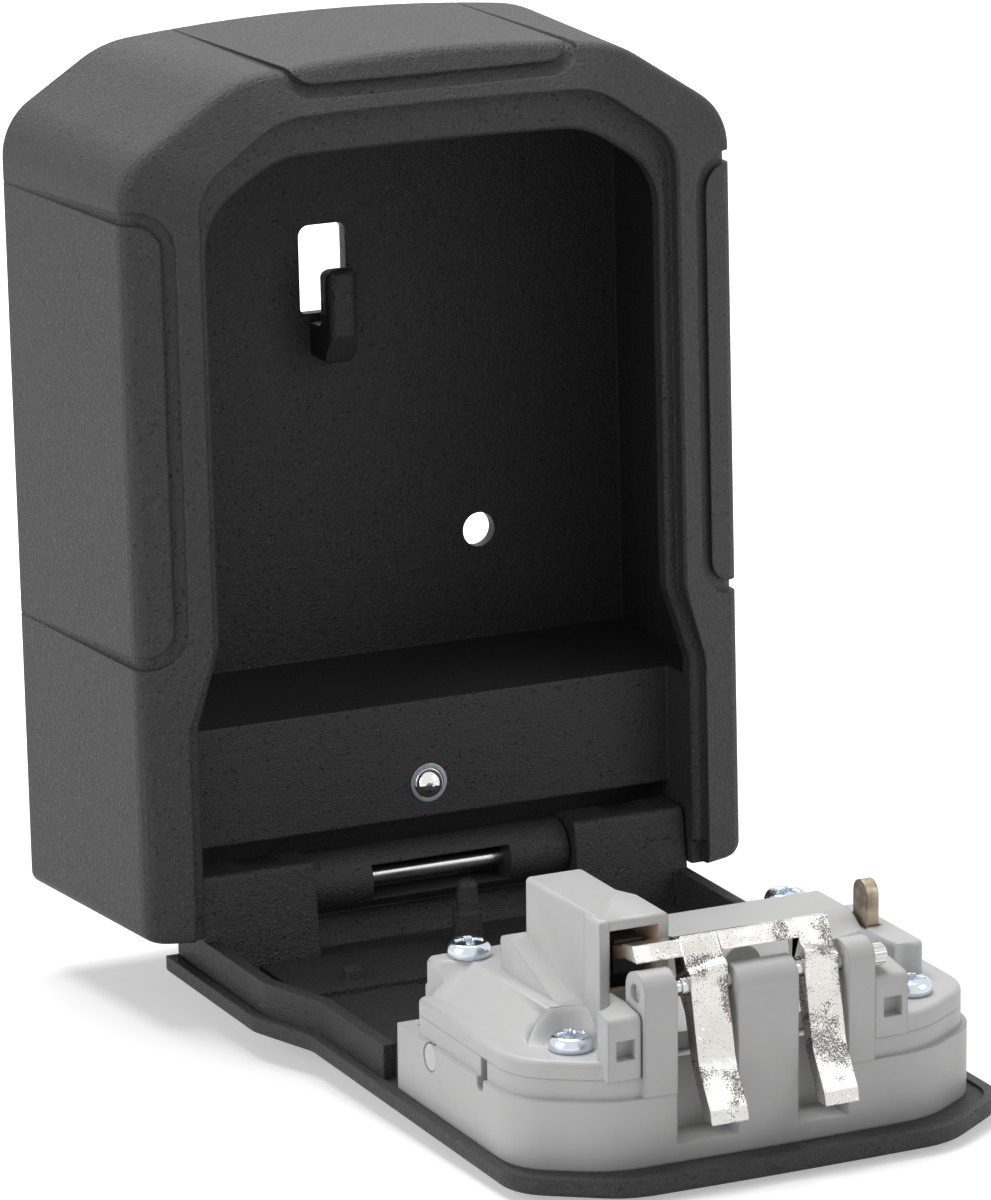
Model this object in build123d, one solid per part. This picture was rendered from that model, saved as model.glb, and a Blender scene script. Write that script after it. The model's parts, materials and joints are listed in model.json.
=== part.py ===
from build123d import *
import math
import os

# All lengths are millimetres. X runs to the right, the open front faces -Y, Z is up.
# The back of the case lies in the plane y = 0. Heights are given from the underside of the case,
# and the finished pieces are set down so that the origin lies midway between the wall screw holes.
# Door pieces are drawn as if the door were shut and are then swung open about the hinge pin.

# Case
case_width = 95.0
case_height = 120.0
bevel_start = 37.4
bevel_drop = 3.8
front_draw_in = 1.7
front_top_drop = 0.6
bevel_width = 10.2
wall = 2.3
back_wall = 2.0
shoulder_drop_back = 11.5
shoulder_inset_back = 15.3
shoulder_drop_front = 12.8
shoulder_inset_front = 16.9
crown = 1.4
shoulder_radius = 9.0
top_radius = 16.0
bottom_radius = 2.0

# Doorway
doorway_top_gap = 6.8
doorway_shoulder_drop = 8.8
doorway_shoulder_inset = 12.2
doorway_crown = 0.25
doorway_radius = 7.5
doorway_top_radius = 12.0
opening_radius = 9.0
opening_top_radius = 14.0
front_edge_radius = 2.2
front_edge_facets = 3
mouth_chamfer = 0.45
recess_depth = 2.4
ledge_width = 1.65
lip_height = 5.7
frame_thickness = 2.5
foot_widening = 3.7
foot_low_z = 29.8
foot_high_z = 40.8
foot_radius = 5.0

# Grip panel grooves
groove_depth = 0.55
groove_width = 2.0
groove_width_back = 0.35
side_grip_low = 39.4
side_grip_high = 100.3
side_grip_inset = 5.9
top_grip_half = 21.9
top_grip_drop = 4.1
grip_radius = 4.5

# Lower box, hinge pocket and hinge
shelf_z = 27.3
panel_y = 31.2
panel_wall = 2.1
pocket_ceiling = 10.6
pocket_depth = 23.4
hinge_y = 30.9
hinge_z = 3.3
barrel_radius = 4.3
barrel_half = 19.7
barrel_window_half = 10.6
pin_radius = 1.3
fit_gap = 0.05
gap = 0.3
open_angle = 92.0
swing_relief = 0.8

# Hanging hook, its core window and the wall screw holes
hook_x = -0.8
hook_width = 4.6
hook_reach = 7.2
hook_low_z = 70.8
hook_high_z = 84.6
hook_thickness = 3.0
hook_edge_radius = 1.4
window_width = 7.2
window_low_z = 77.4
window_high_z = 90.0
screw_hole_radius = 2.5
screw_hole_spacing = 45.0
screw_hole_z = 43.2

# Door
door_gap = 0.35
door_top_gap = 1.5
plate_thickness = 2.4
floor_thickness = 2.0
rim_width = 1.5
tray_wall_height = 6.8
tray_wall = 1.8
tray_end = 60.3
block_reach = 15.4
block_top = 8.3
block_foot = 10.6
block_inner = 20.0
block_radius = 2.4
block_edge_radius = 0.9
dip_radius = 9.0
dip_depth = 0.8
heel_height = 5.6
heel_length = 3.0
kick_z = 15.4
post_height = 12.0
post_radius = 2.3
post_tip_radius = 1.4
stub_x = -21.0
stub_z = 23.0
stub_radius = 1.5

# Push-open plunger
sleeve_radius = 2.75
plunger_radius = 2.15
sleeve_length = 16.0
sleeve_end = 1.0
plunger_tail = 4.2
plunger_dome = 1.6
kick_travel = 3.6
kick_wire = 0.4
kick_turns = 5
coil_steps = 12
coil_sides = 6

# Lock housing, cover and latch
housing_back = 64.5
housing_front_gap = 1.1
housing_gap = 0.45
housing_floor = 1.6
housing_low_top = 11.2
housing_top = 13.8
band_step = 0.6
housing_wall = 2.0
cover_back = 70.0
cover_top = 16.2
slot_back = 99.8
pillar_radius = 2.5
slot_floor = 4.4
left_slot = (-13.8, -5.2)
right_slot = (3.4, 10.6)
pillar_edges = (-18.4, 14.4)
left_pillar_top = 27.1
middle_pillar_top = 26.3
lug_x = -1.7
lug_radius = 2.7
lug_height = 24.6
right_pillar_top = 27.1
rod_z = 103.0
rod_height = 24.3
rod_radius = 1.25
latch_left_arm = (-11.3, -6.1)
latch_right_arm = (4.9, 9.7)
latch_tab_end = -17.8
latch_boss_radius = 2.3
latch_angle = 15.0
tall_box_x = (-20.3, -10.6)
tall_box_s = (75.3, 97.0)
tall_box_top = 32.2
tower_step = 1.4
tower_step_wall = 0.8
tower_step_s = 87.6
tower_mouth = 22.8
box_wall = 1.4
screw_spots = ((-24.5, 67.5, 20.0), (22.0, 67.5, 20.0), (-24.4, 97.0, 16.2), (24.4, 97.0, 16.2))
screw_head_radius = 2.9
screw_head_height = 2.1
screw_shank_radius = 1.25
screw_depth = 4.5
boss_radius = 2.6
scoop_radius = 5.4
raised_top = 20.0
snap_top = 22.0
rim_pocket_x = 29.4
side_pin_z = 74.3
side_pin_height = 9.4
side_pin_radius = 1.9
spline_teeth = 16

# Number wheels
wheel_count = 4
wheel_pitch = 6.0
wheel_first_x = 2.6
wheel_radius = 8.4
wheel_shoulder_radius = 6.6
wheel_width = 5.4
wheel_rim_width = 4.4
wheel_axis_height = 8.0
wheel_z = 78.0
wheel_faces = 10
wheel_notch = 1.1
sleeve_bore = 4.2
axle_radius = 1.5
comb_reach = 6.0
comb_height = 19.2
comb_gauge = 0.4
lever_x = (25.4, 27.1)
lever_z = (79.8, 83.6)
lever_top = 26.9
lever_plate_s = (74.8, 84.5)
reset_travel = 2.5
reset_block_top = 21.0
reset_block_x = 29.4
reset_block_front = 92.3
open_travel = 1.2
slide_slot_x = (-17.8, -13.0)
slide_slot_s = (78.0, 97.4)

# Sizes that follow from the ones above
half_back = case_width / 2
half_front = half_back - front_draw_in
case_front = bevel_start + bevel_drop
half_doorway = half_front - bevel_width
doorway_top = case_height - front_top_drop - doorway_top_gap
ledge_y = case_front - recess_depth
half_opening = half_doorway - ledge_width
opening_top = doorway_top - lip_height
door_face = ledge_y + gap + plate_thickness
half_foot = half_doorway + foot_widening
half_opening_foot = half_opening + foot_widening - 0.2
dial_chord = math.sqrt(wheel_radius ** 2 - (wheel_axis_height - plate_thickness) ** 2)
dial_window_half = dial_chord + gap


def outline(half, top, drop, inset, rise, radii, foot=None, bottom=0.0, corner=0.0):
    """Front view of an arched shape with sloped shoulders, and with a wider foot where one is given."""
    shoulder_x = half - inset
    reach = shoulder_x - 4.0
    slope = 2 * rise / reach
    arch = reach / math.sin(math.atan(slope)) * 0.98
    side = [(half, top - drop), (shoulder_x, top + rise - slope * shoulder_x)]
    rounding = list(radii)
    if foot is None:
        side.insert(0, (half, bottom))
        rounding.insert(0, corner)
    else:
        side[:0] = [(foot[0], bottom), (foot[0], foot[1]), (half, foot[2])]
        rounding[:0] = [0, foot_radius, foot_radius]
    mirrored = [(-x, z) for x, z in reversed(side)]
    points = side + [(0, top + rise)] + mirrored
    return make_face(FilletPolyline(*points, radius=rounding + [arch] + rounding[::-1], close=True))


def front_plane(y):
    """Plane seen from the front at distance y in front of the wall."""
    return Plane(origin=(0, -y, 0), x_dir=(1, 0, 0), z_dir=(0, -1, 0))


def slab(face, near, far):
    """Solid between two distances from the wall, with a front-view face as its section."""
    return extrude(front_plane(near) * face, amount=far - near)


def side_rib(points, x0, x1, radii=0):
    """Solid from x0 to x1 with the given (y, z) outline as its section."""
    plane = Plane(origin=(x0, 0, 0), x_dir=(0, 1, 0), z_dir=(1, 0, 0))
    if radii == 0:
        face = make_face(Polyline(*points, close=True))
    else:
        face = make_face(FilletPolyline(*points, radius=radii, close=True))
    return extrude(plane * face, amount=x1 - x0)


def block(x, y, z):
    """Box between two corners given as ranges."""
    size = (x[1] - x[0], y[1] - y[0], z[1] - z[0])
    centre = (x[0] + size[0] / 2, y[0] + size[1] / 2, z[0] + size[2] / 2)
    return Pos(*centre) * Box(*size)


def rod_x(x0, x1, y, z, radius):
    """Round bar along X."""
    return Pos((x0 + x1) / 2, y, z) * Rot(0, 90, 0) * Cylinder(radius, x1 - x0)


def rod_y(y0, y1, x, z, radius):
    """Round bar along Y."""
    return Pos(x, (y0 + y1) / 2, z) * Rot(90, 0, 0) * Cylinder(radius, y1 - y0)


def cone_y(y0, y1, x, z, radius0, radius1):
    """Tapered round bar along Y, with radius0 at y0 and radius1 at y1."""
    return Pos(x, (y0 + y1) / 2, z) * Rot(-90, 0, 0) * Cone(radius0, radius1, y1 - y0)


# Outlines of the case, the doorway and the opening behind it

def back_outline():
    radii = (shoulder_radius, top_radius)
    drop = shoulder_drop_back
    inset = shoulder_inset_back
    return outline(half_back, case_height, drop, inset, crown, radii, corner=bottom_radius)


def frame_outline(share):
    """Outline on the front frame, a share of the way from the frame's outer edge to the doorway."""
    def between(outer, inner):
        return outer + (inner - outer) * share
    radii = (between(shoulder_radius, doorway_radius), between(top_radius, doorway_top_radius))
    half = between(half_front, half_doorway)
    top = between(case_height - front_top_drop, doorway_top)
    drop = between(shoulder_drop_front, doorway_shoulder_drop)
    inset = between(shoulder_inset_front, doorway_shoulder_inset)
    return outline(half, top, drop, inset, between(crown, doorway_crown), radii, corner=bottom_radius)


def front_outline():
    return frame_outline(0.0)


def doorway_arch(half, top, foot=None, bottom=0.0, corner=0.0):
    """Outline with the doorway's shoulders."""
    radii = (doorway_radius, doorway_top_radius)
    drop = doorway_shoulder_drop
    inset = doorway_shoulder_inset
    return outline(half, top, drop, inset, doorway_crown, radii, foot=foot, bottom=bottom, corner=corner)


def doorway_outline(shrink=0.0, top_shrink=0.0, bottom=0.0):
    foot = (half_foot - shrink, foot_low_z - shrink * 0.5, foot_high_z - shrink * 0.5)
    return doorway_arch(half_doorway - shrink, doorway_top - top_shrink, foot=foot, bottom=bottom)


def opening_outline(shrink=0.0, top_shrink=None, bottom=0.0):
    top_shrink = shrink if top_shrink is None else top_shrink
    foot = (half_opening_foot - shrink, foot_low_z - shrink * 0.5, foot_high_z - shrink * 0.5)
    radii = (opening_radius, opening_top_radius)
    half = half_opening - shrink
    top = opening_top - top_shrink
    drop = doorway_shoulder_drop - 1.3
    inset = doorway_shoulder_inset - 1.5
    return outline(half, top, drop, inset, doorway_crown, radii, foot=foot, bottom=bottom)


# Case

def case_skin(inset=0.0, inset_back=0.0, sink=0.0):
    """Drawn body with the bevelled front frame, rounded where the sides meet the bevel.

    The insets and the sink give the smaller body that the grooves are cut down to.
    """
    back = back_outline()
    if inset_back > 0:
        back = offset(back, amount=-inset_back, kind=Kind.INTERSECTION)
    sections = [front_plane(0) * back]
    slope = math.atan2(bevel_drop, bevel_width)
    start = bevel_start - front_edge_radius * math.tan((math.pi / 2 - slope) / 2)
    for k in range(front_edge_facets + 1):
        turn = (math.pi / 2 - slope) * k / front_edge_facets
        inward_by = front_edge_radius * (1 - math.cos(turn))
        depth = start + front_edge_radius * math.sin(turn)
        face = frame_outline(inward_by / bevel_width)
        if inset > 0:
            face = offset(face, amount=-inset, kind=Kind.INTERSECTION)
        sections.append(front_plane(depth - sink) * face)
    sections.append(front_plane(case_front - sink) * frame_outline(1.0))
    return loft(sections, ruled=True)


def band(face, width_back, width_front):
    """Band that follows the edge of a front-view face and widens toward the front."""
    back_out, back_in = (offset(face, amount=side * width_back / 2) for side in (1, -1))
    front_out, front_in = (offset(face, amount=side * width_front / 2) for side in (1, -1))
    far = case_front + 1.0
    outer = loft([front_plane(0) * back_out, front_plane(far) * front_out], ruled=True)
    inner = loft([front_plane(-0.1) * back_in, front_plane(far + 0.1) * front_in], ruled=True)
    return outer - inner


def grip_grooves():
    """Shallow grooves that frame the grip panels on both sides and on the top."""
    inner_x = half_front - side_grip_inset
    outer_x = half_back + 12
    side = FilletPolyline(
        (inner_x, side_grip_low), (outer_x, side_grip_low),
        (outer_x, side_grip_high), (inner_x, side_grip_high),
        radius=[grip_radius, 0, 0, grip_radius], close=True,
    )
    low_z = case_height - front_top_drop - top_grip_drop
    high_z = low_z + 30
    top = FilletPolyline(
        (-top_grip_half, low_z), (top_grip_half, low_z), (top_grip_half, high_z), (-top_grip_half, high_z),
        radius=[grip_radius, grip_radius, 0, 0], close=True,
    )
    right = band(make_face(side), groove_width_back, groove_width)
    cutters = right + mirror(right, about=Plane.YZ) + band(make_face(top), groove_width_back, groove_width)
    return cutters - case_skin(inset=groove_depth, inset_back=0.05, sink=groove_depth)


def compartment():
    """Hollow of the key compartment above the shelf."""
    deep = offset(back_outline(), amount=-wall, kind=Kind.INTERSECTION)
    shallow = offset(front_outline(), amount=-wall, kind=Kind.INTERSECTION)
    sections = [front_plane(back_wall) * deep, front_plane(ledge_y - frame_thickness) * shallow]
    hollow = loft(sections, ruled=True)
    return hollow - block((-case_width, case_width), (-2 * case_front, 5), (-5, shelf_z))


def back_core():
    """Cored pocket that opens at the wall side behind the shelf, the panel and the hinge pocket."""
    inner = half_back - wall - 2.0
    rear = 1.0
    low_depth = -(pocket_depth - panel_wall)
    high_depth = -(panel_y - panel_wall)
    step_z = pocket_ceiling + panel_wall
    top_z = shelf_z - panel_wall
    profile = [
        (rear, wall), (low_depth, wall), (low_depth, step_z), (high_depth, step_z), (high_depth, top_z),
        (rear, top_z),
    ]
    core = side_rib(profile, -inner, inner)
    for x in (-15.0, 15.0):
        core -= block((x - 1.0, x + 1.0), (-case_front, 5), (0, shelf_z))
    core -= rod_y(-panel_y, -(panel_y - sleeve_length - 1.6), 0, kick_z, sleeve_radius + 1.6)
    return core


def barrel():
    """Middle hinge knuckle with the window that shows the pin."""
    knuckle = rod_x(-barrel_half, barrel_half, -hinge_y, hinge_z, barrel_radius)
    knuckle += block((-barrel_half, barrel_half), (-hinge_y, -pocket_depth + 0.5), (0, wall))
    half = barrel_window_half
    top = hinge_z + pin_radius + 1.1
    knuckle -= block((-half, half), (-hinge_y - 10, -hinge_y + pin_radius + 0.6), (0.9, top))
    return knuckle - rod_x(-case_width, case_width, -hinge_y, hinge_z, pin_radius)


def flare(section, mouth):
    """Cutter that takes the sharp edge off an opening at its mouth."""
    low = front_plane(mouth - mouth_chamfer) * section(bottom=-5)
    high = front_plane(mouth + mouth_chamfer) * section(shrink=-2 * mouth_chamfer, bottom=-5)
    return loft([low, high], ruled=True)


def hook():
    """Hook for the keys, cast out of the back wall, with its edges rounded."""
    root = -(back_wall - 0.2)
    tip = -(back_wall + hook_reach)
    inner = tip + hook_thickness
    points = [
        (root, hook_low_z + 0.6), (tip + 2.6, hook_low_z), (tip, hook_low_z + 4.2), (tip, hook_high_z),
        (inner, hook_high_z), (inner, hook_low_z + 5.4), (root, hook_low_z + 5.4),
    ]
    low = hook_x - hook_width / 2
    blank = side_rib(points, low, low + hook_width, radii=[0, 1.2, 1.2, 1.3, 1.3, 1.0, 0])
    height = hook_high_z - hook_low_z
    front = Pos(hook_x, hook_low_z + height / 2) * RectangleRounded(hook_width, height, hook_edge_radius)
    plan_depth = 2 * (hook_reach + back_wall)
    plan = Plane(origin=(hook_x, 0, hook_low_z - 1), x_dir=(1, 0, 0), z_dir=(0, 0, 1))
    plan = plan * RectangleRounded(hook_width, plan_depth, hook_edge_radius)
    return blank & slab(front, 0, 2 * hook_reach) & extrude(plan, amount=height + 2)


def hook_window():
    """Opening in the back wall behind the hook, rounded at its corners."""
    low = hook_x - window_width / 2
    high = low + window_width
    face = FilletPolyline(
        (low, window_low_z), (high, window_low_z), (high, window_high_z), (low, window_high_z),
        radius=[0.8, 0.8, 1.2, 1.6], close=True,
    )
    return slab(make_face(face), -1.0, back_wall + 1.0)


def case_shell():
    body = case_skin() - grip_grooves()
    body -= slab(doorway_outline(bottom=-5), ledge_y, case_front + 5)
    body -= block((-half_foot, half_foot), (-case_front, swing_relief - ledge_y), (-5, hinge_z))
    body -= compartment()
    body -= slab(opening_outline(bottom=-5), panel_y, case_front + 5)
    body -= flare(doorway_outline, case_front)
    body -= flare(opening_outline, ledge_y)
    foot = (-half_opening_foot, half_opening_foot)
    body -= block(foot, (-case_front - 5, -pocket_depth), (-5, pocket_ceiling))
    body -= back_core()
    body += barrel()
    body -= rod_y(-panel_y - 1, -(panel_y - sleeve_length), 0, kick_z, sleeve_radius)
    body -= hook_window()
    for side in (-1, 1):
        body -= rod_y(-back_wall - 1, 1, side * screw_hole_spacing / 2, screw_hole_z, screw_hole_radius)
    return body + hook()


def hinge_pin():
    return rod_x(-half_opening_foot + 1.2, half_opening_foot - 1.2, -hinge_y, hinge_z, pin_radius)


def plunger_sleeve():
    """Blind sleeve pressed into the panel."""
    front = -(panel_y + 0.15)
    rear = -(panel_y - sleeve_length)
    tube = rod_y(front, rear, 0, kick_z, sleeve_radius)
    return tube - rod_y(front - 1, rear - sleeve_end, 0, kick_z, plunger_radius + fit_gap)


def kick_plunger():
    """Domed plunger that pushes the door open."""
    tip = panel_y + plunger_dome
    tail = panel_y - plunger_tail
    ball = (plunger_radius ** 2 + plunger_dome ** 2) / (2 * plunger_dome)
    half_turn = math.asin(plunger_radius / ball) / 2
    middle = (ball * math.sin(half_turn), -(tip - ball) - ball * math.cos(half_turn))
    sides = Polyline((0, -tip), (0, -tail), (plunger_radius, -tail), (plunger_radius, -panel_y))
    dome = ThreePointArc((plunger_radius, -panel_y), middle, (0, -tip))
    return Pos(0, 0, kick_z) * revolve(make_face(sides + dome), axis=Axis.Y)


def coil(length, radius, wire, turns):
    """Spring along Z from 0 to its length: one unbroken six-sided wire lofted along even steps of a helix."""
    steps = turns * coil_steps
    rise = length - 2 * wire
    sections = []
    for k in range(steps + 1):
        turn = 2 * math.pi * k / coil_steps
        out = (math.cos(turn), math.sin(turn), 0)
        centre = (radius * out[0], radius * out[1], wire + rise * k / steps)
        along = (-out[1], out[0], rise / turns / (2 * math.pi * radius))
        sections.append(Plane(origin=centre, x_dir=out, z_dir=along) * RegularPolygon(wire / 2, coil_sides))
    return loft(sections, ruled=True)


def kick_spring():
    """Spring behind the plunger, at the length it has with the door shut."""
    start = panel_y - plunger_tail
    end = panel_y - sleeve_length + sleeve_end
    spring = coil(start - end - kick_travel - gap, plunger_radius - kick_wire - gap, kick_wire, kick_turns)
    return Pos(0, -start, kick_z) * Rot(-90, 0, 0) * spring


# Door pieces: y and z are as with the door shut, heights count inward from the door's face

def inward(height):
    """Distance y for a height above the door's outer face."""
    return -(door_face - height)


def opened(shape):
    """Door piece swung about the hinge pin into the open position."""
    axis = Axis((0, -hinge_y, hinge_z), (1, 0, 0))
    return shape.rotate(axis, open_angle)


def layer(face, low, high):
    """Solid with a front-view section between two heights above the door's face."""
    return slab(face, door_face - high, door_face - low)


def hs_block(x, s, h):
    """Box from ranges in x, along the door and in height above its face."""
    return block(x, (inward(h[0]), inward(h[1])), s)


def hs_rib(points, x0, x1, radii=0):
    """Solid along X with a section given as (height, distance along the door)."""
    return side_rib([(inward(h), s) for h, s in points], x0, x1, radii)


def post(x, s, h0, h1, r0, r1):
    """Tapered round post that stands on the door."""
    return cone_y(inward(h0), inward(h1), x, s, r0, r1)


def wheel_well():
    """Range in x that the row of wheels needs to turn freely."""
    return wheel_xs()[0] - wheel_width / 2 - gap, wheel_xs()[-1] + wheel_width / 2 + gap


def wheel_xs():
    return [wheel_first_x + wheel_pitch * n for n in range(wheel_count)]


def hinge_block(side):
    """One of the two door knuckles beside the barrel, with a shallow hollow in its top."""
    root = floor_thickness - 0.5
    points = [(root, 0.3), (block_reach, 0.3), (block_reach, block_top), (root, block_foot)]
    low = block_inner if side > 0 else -(half_opening_foot - door_gap)
    high = low + half_opening_foot - door_gap - block_inner
    piece = hs_rib(points, low, high, radii=[0, block_radius, block_edge_radius, 0])
    dip = Pos((low + high) / 2 + 1.0, 0, block_top / 2 - 1.2) * Cylinder(dip_radius, block_top - 2.0)
    piece -= Pos(0, inward(block_reach + dip_radius - dip_depth), 0) * dip
    return piece - rod_x(low - 1, high + 1, -hinge_y, hinge_z, pin_radius + fit_gap)


def door_plate():
    face = doorway_outline(shrink=door_gap, top_shrink=door_top_gap, bottom=0.3)
    plate = layer(face, 0, plate_thickness)
    plate = fillet(plate.faces().sort_by(Axis.Y)[0].edges(), radius=0.7)
    floor_face = offset(face, amount=-rim_width, kind=Kind.INTERSECTION)
    plate -= layer(floor_face, floor_thickness, plate_thickness + 1)
    tray = layer(opening_outline(shrink=door_gap, bottom=0.3), floor_thickness - 0.1, tray_wall_height)
    tray -= layer(opening_outline(shrink=door_gap + tray_wall, bottom=-5), 0, tray_wall_height + 1)
    tray &= hs_block((-case_width, case_width), (block_top - 4, tray_end), (0, tray_wall_height))
    plate += tray
    for side in (-1, 1):
        plate += hinge_block(side)
    root = floor_thickness - 0.1
    heel = [(root, 0.3), (heel_height, 0.3), (heel_height, heel_length), (root, 2 * heel_length)]
    plate += hs_rib(heel, -block_inner - 0.1, block_inner + 0.1)
    plate += post(0, kick_z, root, 7.6, post_radius, post_radius * 0.9)
    plate += post(0, kick_z, 7.5, post_height - 0.6, post_radius * 0.74, post_tip_radius)
    plate += post(0, kick_z, post_height - 0.6, post_height, post_tip_radius, post_tip_radius * 0.6)
    pad_half = half_opening - 4
    plate += hs_block((-pad_half, pad_half), (block_foot + 1.4, stub_z + 3.5), (root, 3.0))
    plate += post(stub_x, stub_z, 2.9, 4.7, stub_radius, stub_radius * 0.9)
    opening = (wheel_z - dial_window_half, wheel_z + dial_window_half)
    for x in wheel_xs():
        half = wheel_rim_width / 2 + gap
        plate -= hs_block((x - half, x + half), opening, (-1, plate_thickness + 1))
    plate -= hs_block(wheel_well(), opening, (1.1, plate_thickness + 1))
    plate -= open_button_pocket()
    return plate


def open_button_pocket():
    """Shallow finger recess on the door's face and the slot for the slide's stem."""
    face = RectangleRounded(8.0, 24.0, 1.5)
    pocket = layer(Pos(-15.5, 84.5) * face, -1, 1.2)
    slot = (slide_slot_x[0] + 0.4, slide_slot_x[1] - 0.4)
    return pocket + hs_block(slot, (78.6, 94.4), (0, plate_thickness + 1))


def housing_outline(shrink):
    face = opening_outline(shrink=housing_gap + shrink, top_shrink=housing_front_gap + shrink)
    keep = Pos(0, housing_back + 50) * Rectangle(4 * half_back, 100)
    return face & keep


def lock_housing():
    """Moulded box of the lock, with the pillars that carry the latch rod."""
    body = layer(housing_outline(0), floor_thickness, housing_low_top)
    body += layer(housing_outline(band_step), housing_low_top, housing_top)
    rim = (-case_width, -rim_pocket_x)
    body -= hs_block(rim, (60, cover_back), (housing_low_top, housing_top + 1))
    inner = half_opening - housing_gap - housing_wall
    floor_h = floor_thickness + housing_floor
    depth = (floor_h, housing_top + 1)
    body -= hs_block((-inner, -rim_pocket_x), (housing_back + housing_wall, cover_back), depth)
    body -= hs_block((-inner, inner), (cover_back + housing_wall, slot_back - 8.0), depth)
    body += pillars()
    left, right = pillar_edges
    front = opening_top - housing_front_gap
    for x0, x1 in (left_slot, right_slot):
        body -= hs_block((x0, x1), (slot_back, front + 5), (slot_floor, 40))
    body -= rod_x(left - 1, right + 1, inward(rod_height), rod_z, rod_radius)
    body -= rod_x(-half_opening, 7.2 - half_opening, inward(side_pin_height), side_pin_z, side_pin_radius)
    notch = [
        (housing_low_top - 1.6, 88.4), (housing_top + 1, 88.4), (housing_top + 1, 90.2),
        (housing_low_top - 1.6, 90.2),
    ]
    depth_x = -half_opening + housing_gap + band_step + 1.6
    body -= hs_rib(notch, -half_opening - 1, depth_x, radii=[0.8, 0, 0, 0.8])
    for x, s, top in screw_spots:
        boss = rod_y(inward(floor_thickness), inward(housing_top), x, s, boss_radius)
        body += boss & layer(housing_outline(band_step), floor_thickness, housing_top)
        body -= rod_y(inward(screw_depth - 0.4), inward(housing_top + 1), x, s, screw_shank_radius)
    low, high = wheel_well()
    body -= rod_x(low, high, inward(wheel_axis_height), wheel_z, wheel_radius + gap)
    body -= hs_block(slide_slot_x, slide_slot_s, (0, housing_top + 1))
    axle_end = lever_x[1] + reset_travel + 1.6
    body -= rod_x(low - 3.1, axle_end, inward(wheel_axis_height), wheel_z, axle_radius)
    return body


def pillars():
    """Three pillars with rounded tops for the rod, and the round lug behind the middle one."""
    left, right = pillar_edges
    front = opening_top - housing_front_gap
    piece = hs_block((left, right), (slot_back, front), (housing_low_top, housing_top + 0.4))
    tops = (left_pillar_top, middle_pillar_top, right_pillar_top)
    spans = ((left, left_slot[0]), (left_slot[1], right_slot[0]), (right_slot[1], right))
    for (x0, x1), top in zip(spans, tops):
        back = slot_back + 0.6
        points = [(housing_low_top, back), (top, back), (top, front), (housing_low_top, front)]
        piece += hs_rib(points, x0, x1, radii=[0, pillar_radius, pillar_radius, 0])
    lug_s = (slot_back - 1.5, slot_back + 0.3)
    plane = Plane(origin=(lug_x, inward(lug_height), lug_s[0]), x_dir=(1, 0, 0), z_dir=(0, 0, 1))
    piece += extrude(plane * Circle(lug_radius), amount=lug_s[1] - lug_s[0])
    return piece + hs_block((lug_x - lug_radius, lug_x + lug_radius), lug_s, (housing_low_top, lug_height))


def lock_cover():
    """Moulded cover: flange, raised body, slide tower, wheel hump and the snap blocks beside the pillars."""
    cover = cover_flange() + raised_body() + slide_tower() + wheel_hump() + snap_blocks()
    for x, s, top in screw_spots:
        if top == cover_top:
            cover -= rod_y(inward(top), inward(top + 20), x, s, scoop_radius)
        cover -= rod_y(inward(top), inward(top + 10), x, s, screw_head_radius + gap)
        cover -= rod_y(inward(housing_top - 1), inward(top + 1), x, s, screw_shank_radius + fit_gap)
    x0, x1 = tall_box_x
    s0, s1 = tall_box_s
    hollow = (x0 + box_wall, x1 - box_wall)
    narrow = (x0 + box_wall, x1 - tower_step - tower_step_wall)
    cover -= hs_block(hollow, (tower_step_s, s1 - box_wall), (housing_top - 1, tall_box_top - box_wall))
    cover -= hs_block(narrow, (s0 + box_wall, tower_step_s), (housing_top - 1, tall_box_top - box_wall))
    cover -= hs_block(hollow, (s1 - 3.0, s1 + 5), (tower_mouth, tall_box_top - box_wall))
    low, high = wheel_well()
    cover -= rod_x(low, high, inward(wheel_axis_height), wheel_z, wheel_radius + gap)
    comb_half = comb_reach + gap
    span = (wheel_z - comb_half, wheel_z + comb_half)
    cover -= hs_block((low, high), span, (housing_top - 1, comb_height + gap))
    slot = (lever_z[0] - reset_travel - gap, lever_z[1] + gap)
    cover -= hs_block((lever_x[0] - gap, lever_x[1] + gap), slot, (0, 60))
    return cover


def cover_flange():
    """Flat rim of the cover with a softened upper edge and the gap for the pillars."""
    rim = layer(housing_outline(band_step), housing_top, cover_top)
    rim = fillet(rim.faces().sort_by(Axis.Y)[-1].edges(), radius=0.8)
    left, right = pillar_edges
    rim -= hs_block((left - gap, right + gap), (slot_back - 2.2, 120), (0, 60))
    rim -= hs_block((-case_width, -rim_pocket_x), (60, cover_back), (0, 60))
    return rim - hs_block((rim_pocket_x, case_width), (60, cover_back), (0, 60))


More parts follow.
